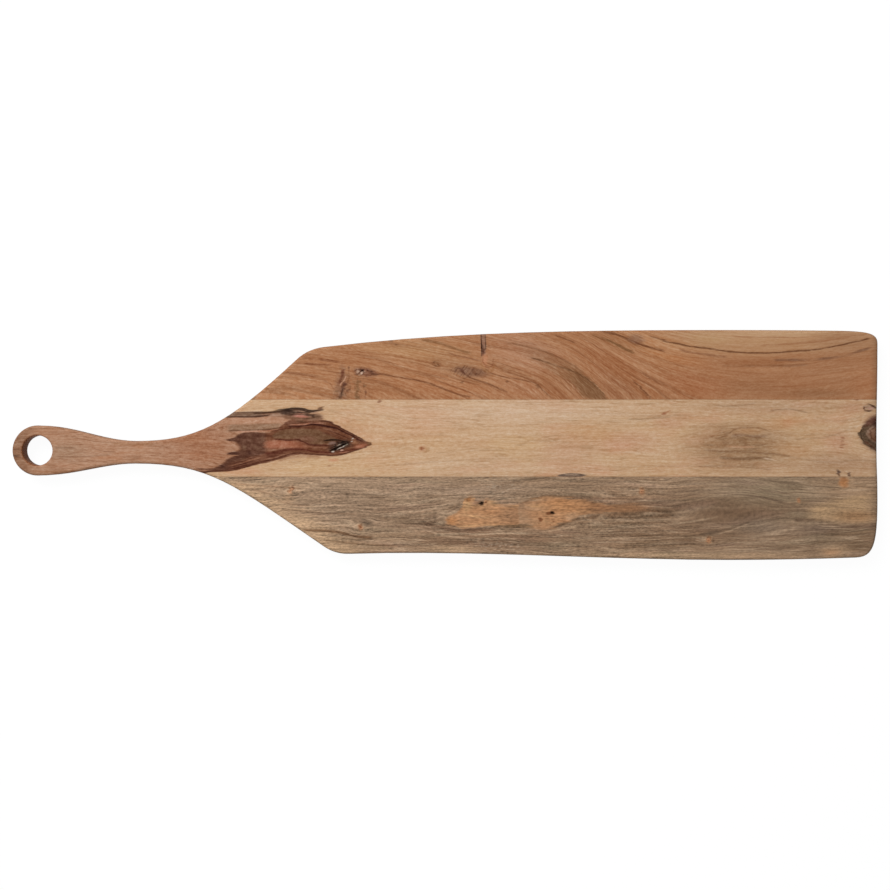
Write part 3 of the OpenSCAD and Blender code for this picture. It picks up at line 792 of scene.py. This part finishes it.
def tongue_knot(wood):
    """The fissured knot near the tongue's tip, with pale glints that are partly pale wood and partly
    painted highlights.
    """
    mottle = wood.noise(3.4, 1.3, seed=38, across=wood.y - wood.x * 0.45)
    knot = wood.from_spot(-111, -0.6, 13.5, 5.6, turn=18) + mottle * 0.22
    wood.paint(knot.step(1.3, 0.7), (78, 50, 37), 0.9)
    wood.paint(wood.spot(-119.5, 2, 4, 1.6, 8), (132, 104, 92), 0.8)
    wood.paint(knot.step(1.1, 0.5) * mottle.step(-0.4, 0.5), (30, 19, 14))
    # The pale glints, in the glint colour and the greyish streak beside the long one, are partly pale wood
    # in the fissures and partly painted highlights
    black, painted_glint = (24, 14, 10), (206, 192, 176)
    wood.spots((
        (-106.5, 2, 6, 2.4, black, 0.85), (-115.5, -4.4, 5, 1.1, black, 0.85, 30),
        (-109.5, -2.4, 4.2, 0.5, painted_glint, 0.75, 30), (-113, -0.4, 3.4, 0.6, (150, 130, 112), 0.8, 26),
        (-117.4, -7, 1.4, 0.8, painted_glint, 0.8), (-109, -5.4, 1.6, 0.8, (206, 160, 140), 0.8),
        (-98, 6.8, 0.9, 0.7, painted_glint, 0.7), (-98.6, 4, 0.9, 0.7, painted_glint, 0.6),
        (-104, 0.6, 2.0, 0.8, (140, 122, 102), 0.6, 40),
    ))


def end_knot(wood):
    """The knot cut through by the blade's end, with the curled bark above it and painted shadow along its
    lower side.
    """
    mottle = wood.noise(3.4, 3.4, seed=42, across=wood.y)
    diamond = abs(wood.drawn_x - 459.0) / 22.5 + abs(wood.drawn_y - 11.6) / 19.6
    knot = wood.from_spot(459, 11.6, 22.5, 19.6) * 0.7 + diamond * 0.3 + mottle * 0.018
    # A darker rim along the knot's lower side is painted shadow
    wood.paint(knot.step(1.22, 1.0) * wood.drawn_y.step(14, 0), (150, 116, 92), 0.7)
    wood.paint(knot.step(1.06, 0.96), (90, 70, 53), 0.95)
    wood.paint(knot.step(1.04, 0.9) * mottle.step(0.0, 0.9), (62, 46, 32), 0.8)
    rings = (knot * 30.0 + mottle * 0.8).math("SINE")
    wood.paint(knot.step(0.62, 0.5), (128, 90, 68), 0.9)
    wood.paint(knot.step(0.72, 0.6) * rings.step(0.0, 1.0), (86, 56, 42), 0.7)
    wood.paint(abs(knot - 0.6).step(0.1, 0.02) * wood.drawn_y.step(4, 8), (146, 116, 96), 0.7)
    wood.spots((
        (450, 25.5, 9, 4, (92, 56, 43), 0.9, 30), (454, 22, 3, 4, (62, 36, 28), 0.8),
    ))
    wood.strokes((
        (((440, 4), (445, 2.4), (449, -0.4), (453, -4), (458, -9)), 1.5, (80, 46, 30), 0.85),
        (((443, 43), (447, 42.6), (450, 41.2), (458, 38)), 1.4, (70, 36, 22), 0.95),
        (((440, 39), (442, 36.8), (445, 36), (453, 36.4)), 1.2, (80, 50, 36), 0.95),
    ))
    wood.spots((
        (445, 40, 3.6, 2.2, (148, 118, 98), 0.7), (449.5, 38.6, 3, 1.4, (168, 126, 112), 0.7),
        (442, 38.4, 1.0, 2.2, (92, 58, 40), 0.85),
    ))


def pale_spots(wood):
    """Small knots and specks of the pale plank, and the bark sliver at its front joint."""
    brown, orange = (128, 78, 50), (158, 110, 80)
    sliver = wood.from_spot(133.5, -31.9, 14.5, 1.9, turn=1)
    wood.paint(sliver.step(1.2, 0.85), (92, 74, 64), 0.95)
    wood.paint(wood.spot(134, -31.4, 8, 0.8), (150, 124, 104), 0.85)
    wood.spots((
        (-24, -4, 4, 3, (186, 134, 96), 0.6), (-24, -4, 2.4, 1.9, (140, 84, 54), 0.9),
        (-69, 46.2, 2.2, 1.5, brown, 0.85), (434, 48, 3, 1.4, brown, 0.7),
        (-118, -16, 4.5, 1.6, (190, 130, 96), 0.7), (-122, -22, 1.6, 1, orange, 0.5),
        (414.6, -28.4, 2, 2.2, (86, 64, 54), 0.9), (416, -31.6, 1.3, 1.5, (96, 64, 46), 0.85),
        (426, -29.6, 1.7, 1.0, (98, 72, 58), 0.85), (426.4, -31.8, 1.7, 1.2, (98, 72, 58), 0.85),
        (231, 33, 2.4, 1.4, (150, 94, 64), 0.8, 20), (236, 35, 3, 0.9, (170, 116, 82), 0.7, 20),
        (419.3, 7.5, 2, 1.2, orange, 0.85), (419, 4.2, 1.8, 1.2, orange, 0.7),
        (419.3, 0.3, 2.2, 1.2, orange, 0.85), (418, -2.6, 2.6, 0.7, orange, 0.8),
    ))


def handle_end(wood):
    """The darker wood round the hanging hole, and its wall."""
    side, rise = wood.x - HOLE_X, wood.y - HOLE_Y
    away = (side * side + rise * rise).math("SQRT")
    wood.paint(wood.x.step(-424, -448), (138, 101, 77), 0.85)
    wood.paint(wood.x.step(-436, -450) * wood.noise(20, 3.4, seed=48).step(0.0, 0.9), (122, 82, 58), 0.5)
    wood.paint(wood.spot(-402, -6, 22, 9, soft=0.9), (158, 126, 102), 0.7)
    wood.strokes(HANDLE_LINES)
    wood.paint(away.step(HOLE_RADIUS + 1.2, HOLE_RADIUS + 0.2), (150, 92, 56), 0.85)


# Grey-brown front plank: its broad patches, tan areas, and lines in the blade and at the shoulder
FRONT_PATCHES = (
    (-110, -60, 90, 30, (164, 137, 113), 0.6), (-20, -82, 30, 9, (126, 99, 78), 0.75, 8),
    (-50, -70, 46, 9, (132, 106, 85), 0.7), (25, -47, 60, 8, (158, 132, 110), 0.7),
    (-25, -100, 30, 10, (160, 132, 106), 0.7), (-175, -42, 30, 9, (176, 146, 118), 0.6),
    (190, -76, 48, 8, (118, 88, 64), 0.9, 4), (226, -67, 36, 11, (112, 85, 64), 0.9),
    (300, -68, 56, 17, (114, 88, 67), 0.85), (240, -97, 70, 11, (122, 94, 72), 0.8),
    (345, -48, 50, 13, GREY_GREEN, 0.7), (335, -86, 26, 8, (120, 102, 86), 0.75),
    (395, -89, 30, 7, (112, 92, 77), 0.85), (436, -97, 26, 12, (120, 94, 72), 0.8),
    (430, -43, 32, 9, (168, 136, 107), 0.8), (370, -104, 50, 9, (138, 112, 90), 0.6),
    (-75, -103, 40, 8, (156, 126, 98), 0.6), (35, -100, 70, 12, (120, 91, 70), 0.85),
    (176, -48, 50, 8, (130, 103, 81), 0.6), (170, -56, 30, 5, (132, 100, 76), 0.6),
    (115, -95, 24, 6, (130, 100, 78), 0.6), (318, -39, 24, 5, (150, 126, 103), 0.5),
    (376, -72, 24, 9, (120, 97, 76), 0.55), (216, -105, 40, 8, (122, 95, 71), 0.55),
    (426, -104, 28, 9, (118, 92, 68), 0.55),
)
FRONT_TANS = (
    (8, -110, 22, 3, TAN, 0.6), (205, -116, 34, 3, TAN, 0.5), (260, -117, 60, 2.4, TAN, 0.4),
    (340, -117, 50, 3, TAN, 0.5), (412, -112, 14, 5, TAN, 0.55), (408, -113, 8, 3, LOBE, 0.4),
    (-5, -82, 5, 2, GREY_PALE, 0.7, 10), (300, -48, 40, 2, GREY_PALE, 0.3, 4),
)
FRONT_LINES = (
    (((-24, -82), (-8, -86), (4, -88.6), (20, -90), (40, -89.4), (58, -87.4)), 2.0, (106, 78, 60), 0.85),
    (((-20, -75), (-6, -73), (4, -70.4), (12, -66), (18, -60)), 1.4, (112, 88, 70), 0.7),
    (((50, -64), (62, -66.4), (72, -66), (82, -60.6)), 1.3, (116, 90, 68), 0.6),
    (((48, -86), (62, -85), (80, -85.4), (96, -89)), 2.2, (108, 82, 58), 0.85),
    (((96, -88.8), (110, -88.8), (120, -85), (132, -80.6), (146, -77), (166, -75)),
     1.8, (108, 80, 58), 0.8),
    (((76, -64), (86, -59), (96, -56), (108, -53.6), (126, -54.4), (150, -57.4)),
     1.2, (116, 86, 62), 0.7),
    (((-14, -95), (10, -93.6), (34, -94), (64, -93), (90, -93.6)), 1.2, GREY_PALE, 0.7),
    (((100, -92), (120, -89.4), (132, -86.6), (148, -84.4), (170, -84.6)), 1.0, (186, 156, 126), 0.6),
    (((-42, -86), (-20, -90), (0, -96), (30, -98.5)), 1.2, GREY_PALE, 0.45),
    (((-60, -64), (-30, -61), (-8, -57), (14, -53.5), (30, -50)), 1.2, GREY_PALE, 0.5),
    (((-40, -71), (-14, -67), (4, -62), (18, -58)), 1.1, GREY_PALE, 0.5),
    (((-50, -78), (-20, -74), (2, -68), (16, -62)), 1.1, GREY_DEEP, 0.6),
    (((-36, -81), (-14, -79), (2, -73), (14, -68)), 1.0, GREY_PALE, 0.4),
    (((52, -58), (60, -57), (70, -55.6)), 1.0, (96, 84, 70), 0.7),
    (((366, -79), (390, -79.4), (405, -81.4), (418, -84.6), (430, -86), (462, -84)),
     2.2, (96, 74, 58), 0.8),
    (((140, -62), (170, -65), (200, -68), (230, -71)), 1.0, (120, 86, 62), 0.5),
    (((225, -52), (260, -49), (300, -51), (340, -57), (375, -66)), 1.4, (108, 86, 68), 0.6),
    (((250, -41), (290, -43), (330, -48), (360, -50)), 1.2, (122, 100, 82), 0.5),
    (((180, -86), (215, -85), (250, -82), (290, -75)), 1.2, GREY_PALE, 0.45),
    (((268, -94), (290, -91), (310, -85), (335, -75.6), (362, -72)), 1.4, (106, 84, 66), 0.6),
    (((280, -96), (302, -90), (322, -82.4), (344, -76.4)), 1.0, GREY_PALE, 0.4),
)
SHOULDER_LINES = (
    (((-152, -90), (-128, -90.6), (-113, -92), (-103, -94), (-94, -96.4), (-74, -97.6)),
     1.5, (108, 76, 52), 0.85),
    (((-228, -41), (-200, -42.6), (-178, -44), (-150, -46)), 0.9, (138, 104, 78), 0.6),
    (((-214, -46), (-190, -50), (-168, -61), (-140, -64)), 0.9, (140, 108, 84), 0.6),
    (((-176, -68), (-150, -70), (-120, -72), (-92, -73)), 1.0, (126, 98, 76), 0.6),
    (((-140, -82), (-122, -83), (-104, -85), (-80, -91)), 0.9, (190, 160, 132), 0.6),
    (((-130, -100), (-105, -103), (-80, -105), (-50, -106)), 0.9, (116, 86, 62), 0.6),
)


def grey_brown_wood():
    """The front plank's wood, with a warm sapwood patch."""
    wood = Wood("grey_brown_wood", GREY_BROWN)
    wood.across = wood.across + wood.noise(85, 24, seed=50) * 2.6
    for x, y in ((-163, -48), (-89, -87.5), (278, -100), (420, -39)):
        wood.part_grain(x, y, 13, 8)
    wood.part_grain(170, -70, 150, 40, push=0.38)
    wood.part_grain(300, -71, 60, 24, push=0.45)
    wood.part_grain(28, -75, 50, 17, push=0.42)
    wood.part_grain(114, -71, 56, 19, push=0.42)
    wood.spots(FRONT_PATCHES, soft=0.9)
    wood.paint(wood.noise(130, 9, seed=51).step(0.1, 1.2), GREY_DEEP, 0.5)
    wood.paint(wood.noise(110, 6, seed=52).step(0.0, 1.2), GREY_PALE, 0.5)
    wood.paint(wood.noise(90, 12, seed=58).step(0.1, 1.1), GREY_GREEN, 0.4)
    wood.paint(wood.noise(90, 10, seed=59).step(0.1, 1.1), GREY_MAUVE, 0.4)
    lively = 1.0 - wood.spot(296, -70, 58, 17, soft=0.8)
    wood.paint(wood.growth_lines(110, 7, seed=62) * lively, (104, 80, 60), 0.55)
    wood.paint(wood.growth_lines(90, 5, seed=64) * lively, (192, 164, 136), 0.5)
    speckle = wood.noise(3.2, 1.8, seed=70, across=wood.y).step(0.0, 0.8)
    quilted = wood.spot(58, -44, 22, 7, soft=0.8).most(wood.spot(55, -107, 30, 5, soft=0.8))
    wood.paint(quilted * speckle, (182, 162, 140), 0.5)
    wood.strokes(FRONT_LINES, mask=wood.noise(26, 6, seed=60).step(-1.4, 0.4))
    lobes = front_tan(wood)
    wood.strokes(SHOULDER_LINES)
    front_knots(wood)
    calm = (1.0 - wood.x.step(200, 320) * 0.35) * (lively * 0.3 + 0.7)
    outside = wood.fibres(0.12, 0.34, 0.22, 0.52, seed=53) * calm * (1.0 - lobes)
    inside = wood.noise(22, 2.0, seed=68, detail=3.0, across=wood.y) * 0.28
    inside = inside + wood.noise(4.6, 1.6, seed=69, across=wood.y) * 0.4 + 0.02
    wood.shade(1.0 - outside - inside * lobes)
    return wood.finish()


def front_tan(wood):
    """The warm sapwood at the shoulder, the two lobes and the tan areas of the front plank."""
    threads = wood.noise(34, 2.6, seed=57, detail=3.0)
    feather = wood.noise(22, 2.2, seed=67, detail=3.0, across=wood.y)
    shoulder = wood.curve(((-121, -92), (-110, -98), (-92, -118), (-78, -142), (-62, -168),
                           (-48, -194), (-33, -236)), wood.drawn_y)
    wood.paint((wood.drawn_x + threads * 20.0 - shoulder).step(24, -24), TAN, 0.8)
    left = wood.band(((0, -79), (8, -74), (14, -70), (18, -66), (20.4, -58), (24, -54), (29, -54.4),
                      (33, -59), (38, -62.5), (43, -57.5), (49, -60), (56, -63.5), (80, -64)),
                     ((0, -80), (6, -83.4), (12, -86), (20, -87.4), (45, -85), (62, -83.4), (80, -83)),
                     soft=1.6, fade=4, ragged=feather * 2.6)
    right = wood.band(((50, -66), (66, -64.5), (78, -62.5), (84, -60.5), (90, -58), (98, -56.4),
                       (110, -55.6), (125, -56), (150, -59.4), (180, -62), (226, -64)),
                      ((50, -83), (66, -83), (80, -83), (90, -85.6), (100, -88), (108, -88), (122, -82.6),
                       (137, -76.6), (150, -72.6), (180, -70.5), (226, -68)), soft=2.4, fade=70,
                      ragged=feather * 2.8)
    lobes = left.most(right)
    tail = wood.drawn_x.step(118, 168)
    wood.paint(lobes * (threads * 0.2 + 0.84), LOBE)
    wood.paint(lobes * tail, LOBE_BROWN, 0.95)
    wood.paint(lobes * threads.step(-0.1, 0.7), (150, 106, 74), 0.55)
    wood.paint(lobes * threads.step(-0.2, -0.8) * (1.0 - tail), (206, 160, 114), 0.6)
    wood.paint(lobes * wood.spot(73, -75, 15, 9, soft=0.8), (150, 112, 84), 0.7)
    wood.paint(lobes * wood.spot(124, -64, 26, 7, soft=0.9), (182, 128, 84), 0.5)
    wood.spots((
        (198, -66, 14, 3.6, (140, 96, 64), 0.35), (7, -80, 5, 4, (188, 130, 84), 0.7),
        (33, -60.4, 4, 2.4, (134, 106, 88), 0.7, 10), (24, -63, 4, 7, (198, 160, 116), 0.5, -20),
        (133, -75.4, 6, 3, (200, 158, 122), 0.55, 20), (50, -61, 6, 2.4, (188, 150, 110), 0.5, -15),
    ), soft=0.8)
    end = wood.band(((374, -69), (390, -64), (410, -58), (435, -53), (462, -50)),
                    ((374, -75), (400, -79), (430, -82), (462, -80)), soft=5, fade=24)
    wood.paint(end * (threads * 0.4 + 0.85), (182, 148, 112), 0.9)
    wood.paint(wood.spot(434, -75, 20, 5.5, soft=0.8), (158, 118, 84), 0.75)
    wood.spots(FRONT_TANS, soft=0.9)
    return lobes


def front_knots(wood):
    """Black pin knots and small orange knots of the front plank."""
    patchy = wood.noise(3, 2, seed=73, across=wood.y).step(-0.5, 0.4)
    for x, y, size, dark in ((-163, -48, 2.6, 0.7), (-89, -87, 2.4, 0.7), (208, -49, 2.6, 0.6),
                             (278, -100, 2.6, 0.7), (373, -58.5, 1.8, 0.4), (421, -39, 4.2, 0.25)):
        ring = wood.from_spot(x, y, size, size * 1.25)
        wood.paint(ring.step(2.6, 0.8), TAN, 0.25)
        wood.paint(ring.step(1.6, 0.4), ORANGE_KNOT, 0.6)
        wood.paint(abs(ring - 1.0).step(0.5, 0.1) * patchy, (112, 78, 54), dark)
        wood.paint(ring.step(0.6, 0.1), (128, 82, 56), dark)
    dark = (92, 76, 62)
    wood.spots((
        (421, -39.4, 4.4, 4.8, (184, 126, 78), 0.65), (-83, -82.5, 6, 3.4, dark, 0.7, -20),
        (-100, -83, 7, 2.6, GREY_PALE, 0.6, -20), (-161, -45, 1.4, 2.4, (112, 72, 50), 0.7),
        (-159.5, -50, 1.2, 2.6, dark, 0.6), (-89, -86, 1.4, 1.4, (112, 66, 40), 0.8),
        (421, -35.6, 3, 1.6, (132, 90, 60), 0.6), (281, -93, 8, 2.4, dark, 0.55, 10),
        (283, -100, 1.4, 2.4, (84, 58, 40), 0.6), (-166, -56, 5, 4, (180, 144, 112), 0.6),
        (214, -48, 4, 1.6, (104, 82, 62), 0.5, 20),
    ), soft=0.8)
    brown = (106, 58, 32)
    wood.spots((
        (37, -61.3, 4.4, 2.4, (128, 92, 66), 0.7), (109, -72.3, 3.4, 1.7, brown, 0.85, 5),
        (101.3, -78.7, 2.4, 2.0, brown, 0.85), (43.4, -60.2, 1.2, 0.9, brown, 0.85),
        (25.2, -57.3, 2.6, 2.6, (138, 94, 62), 0.8), (25.2, -57.3, 1.2, 1.3, (170, 116, 72), 0.8),
        (38.8, -61.4, 2.6, 2.1, BLACK_KNOT, 0.95), (113, -71.6, 2.6, 1.9, BLACK_KNOT, 0.95),
        (113.5, -80.5, 1.0, 0.6, brown, 0.7), (99, -83, 0.8, 0.6, brown, 0.6),
        (111, -83.4, 0.9, 0.6, brown, 0.6),
    ), soft=0.5)


def glue():
    """The thin dark line of glue between two planks."""
    wood = Wood("wood_glue", (120, 80, 54))
    wood.paint(wood.noise(18, 4, seed=71).step(-0.6, 1.0), (92, 58, 38))
    wood.height = wood.noise(6, 1, seed=72)
    return wood.finish(roughness=0.5)


# Wedges that cut the splits: shares of their width, and the rise of their mouth in metres
TIP_SHARE = 0.25
RAGGED_SHARE = (0.75, 1.2)
MOUTH_FLARE = 0.4
FLOOR_SHARE = 0.25
MOUTH_RISE = 0.0006


def cutter(name, points, width, depth, seed):
    """A ragged wedge along points (x, y): its mouth above the board's face, its floor at the depth."""
    dice = random.Random(seed)
    left, right = [], []
    last = len(points) - 1
    for number, (x, y) in enumerate(points):
        before, after = points[max(number - 1, 0)], points[min(number + 1, last)]
        run = math.hypot(after[0] - before[0], after[1] - before[1])
        across = (-(after[1] - before[1]) / run, (after[0] - before[0]) / run)
        half = width / 2 * (TIP_SHARE if number in (0, last) else dice.uniform(*RAGGED_SHARE))
        left.append((x + across[0] * half, y + across[1] * half, x, y))
        right.append((x - across[0] * half, y - across[1] * half, x, y))
    ring = left + right[::-1]
    mesh = bmesh.new()
    top = [mesh.verts.new(((x + (x - mx) * MOUTH_FLARE) / METRE, (y + (y - my) * MOUTH_FLARE) / METRE,
                           TOP + MOUTH_RISE)) for x, y, mx, my in ring]
    low = [mesh.verts.new(((mx + (x - mx) * FLOOR_SHARE) / METRE, (my + (y - my) * FLOOR_SHARE) / METRE,
                           TOP - depth / METRE)) for x, y, mx, my in ring]
    mesh.faces.new(top)
    mesh.faces.new(low[::-1])
    for number in range(len(ring)):
        follow = (number + 1) % len(ring)
        mesh.faces.new((top[follow], top[number], low[number], low[follow]))
    bmesh.ops.recalc_face_normals(mesh, faces=mesh.faces)
    data = bpy.data.meshes.new(name)
    mesh.to_mesh(data)
    mesh.free()
    return data


# Splits and open knots cut into each plank: points (x, y), width and depth in millimetres
SPLITS = {
    "rear_plank": (
        (((38.8, 97), (38.6, 101), (38.8, 106), (38.6, 111)), 0.9, 0.5),
        (((42.8, 101), (42.6, 105), (42.9, 109)), 0.7, 0.4),
        (((-91, 76), (-88, 77.8), (-84, 76.4)), 1.6, 0.9),
        (((-109.6, 51), (-109, 55), (-107.6, 60)), 1.4, 0.5),
    ),
    "middle_plank": (
        (((-122, -6.4), (-117, -4.4), (-112, -1.4), (-107, 0.4), (-101, 2.6)), 1.8, 1.8),
        (((-128, 4.4), (-121, 5), (-112, 4.8), (-104, 3.4)), 1.2, 1.2),
        (((440.5, 20), (438.5, 14), (439.5, 7), (444, 1)), 1.0, 0.6),
    ),
    "front_plank": (
        (((37.2, -61.8), (38.8, -61.2), (40.4, -61.6)), 2.4, 1.6),
        (((111.4, -72), (113, -71.4), (114.6, -71.8)), 2.4, 1.6),
    ),
}


# Meshes: gap closed by welding in metres, widest corner shaded smooth, least upright part of a flat normal
WELD_GAP = 1e-6
SMOOTH_ANGLE = math.radians(40)
FLAT_NORMAL = 0.999


def welded(source):
    """A copy of a frame mesh with its split corners joined, so that it is one closed skin."""
    mesh = bmesh.new()
    mesh.from_mesh(source)
    bmesh.ops.remove_doubles(mesh, verts=mesh.verts, dist=WELD_GAP)
    data = bpy.data.meshes.new(source.name + "_wood")
    mesh.to_mesh(data)
    mesh.free()
    return data


def plank(node, material):
    """The plank as it is in the frame, with its splits cut out and its rounded edges shaded smooth."""
    piece = bpy.data.objects.new(node + "_wood", welded(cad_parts[node].data))
    bpy.context.scene.collection.objects.link(piece)
    tools = []
    for number, (points, width, depth) in enumerate(SPLITS[node]):
        data = cutter(f"{node}_split_{number}", points, width, depth, seed=number)
        tools.append(bpy.data.objects.new(data.name, data))
        bpy.context.scene.collection.objects.link(tools[-1])
        cut = piece.modifiers.new(data.name, "BOOLEAN")
        cut.operation = "DIFFERENCE"
        cut.solver = "EXACT"
        cut.object = tools[-1]
    bpy.context.view_layer.update()
    finished = bpy.data.meshes.new_from_object(piece.evaluated_get(bpy.context.evaluated_depsgraph_get()))
    piece.modifiers.clear()
    piece.data = finished
    for tool in tools:
        bpy.data.objects.remove(tool)
    piece.data.materials.clear()
    piece.data.materials.append(material)
    piece.data.set_sharp_from_angle(angle=SMOOTH_ANGLE)
    for face in piece.data.polygons:
        face.use_smooth = abs(face.normal.z) < FLAT_NORMAL
    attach(piece, "root")
    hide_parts(node)


def studio():
    """A white floor that keeps the shadow, a soft key light from the upper left and a white sky."""
    bpy.ops.mesh.primitive_plane_add(size=FLOOR_SIZE, location=(0, 0, -FLOOR_DROP))
    floor = bpy.context.object
    floor.name = "floor"
    floor.data.materials.append(floor_white())
    lamp = bpy.data.lights.new("key", "AREA")
    lamp.energy = KEY_POWER
    lamp.size = KEY_SIZE
    key = bpy.data.objects.new("key", lamp)
    key.location = KEY_PLACE
    key.rotation_euler = (-key.location).to_track_quat("-Z", "Y").to_euler()
    bpy.context.scene.collection.objects.link(key)
    sky()


def seen_rays(tree):
    """1 for what the camera sees, directly or in a reflection or through glass."""
    path = tree.nodes.new("ShaderNodeLightPath")
    rays = [Field(path.outputs[name]) for name in
            ("Is Camera Ray", "Is Glossy Ray", "Is Transmission Ray")]
    return rays[0].most(rays[1]).most(rays[2])


def floor_white():
    """A floor that is white to look at and sends little light back to the board."""
    material = bpy.data.materials.new("floor_white")
    material.use_nodes = True
    tree = material.node_tree
    shader = tree.nodes["Principled BSDF"]
    shader.inputs["Base Color"].default_value = FLOOR_GREY
    shader.inputs["Roughness"].default_value = 1.0
    shader.inputs["Specular IOR Level"].default_value = 0.0
    shader.inputs["Emission Color"].default_value = WHITE
    feed(shader.inputs["Emission Strength"], seen_rays(tree) * FLOOR_GLOW)
    return material


def sky():
    """A sky that is white to look at and lights the board less."""
    world = bpy.data.worlds.new("sky")
    bpy.context.scene.world = world
    world.use_nodes = True
    background = world.node_tree.nodes["Background"]
    background.inputs["Color"].default_value = WHITE
    feed(background.inputs["Strength"], seen_rays(world.node_tree) * (1 - SKY_LIGHT) + SKY_LIGHT)


def camera():
    """Straight above the board, as the photo was taken."""
    lens = bpy.data.cameras.new("camera")
    lens.sensor_width = SENSOR
    lens.lens = SENSOR * (CAMERA_HEIGHT - TOP) / SEEN_WIDTH
    eye = bpy.data.objects.new("camera", lens)
    eye.location = (0, 0, CAMERA_HEIGHT)
    bpy.context.scene.collection.objects.link(eye)
    bpy.context.scene.camera = eye


# The board, its glue lines and the studio
plank("rear_plank", reddish_wood())
plank("middle_plank", pale_wood())
plank("front_plank", grey_brown_wood())
glue_look = glue()
for name in ("rear_glue_line", "front_glue_line"):
    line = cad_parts[name]
    line.data.materials.clear()
    line.data.materials.append(glue_look)
studio()
camera()
bpy.context.scene.view_settings.view_transform = "Standard"
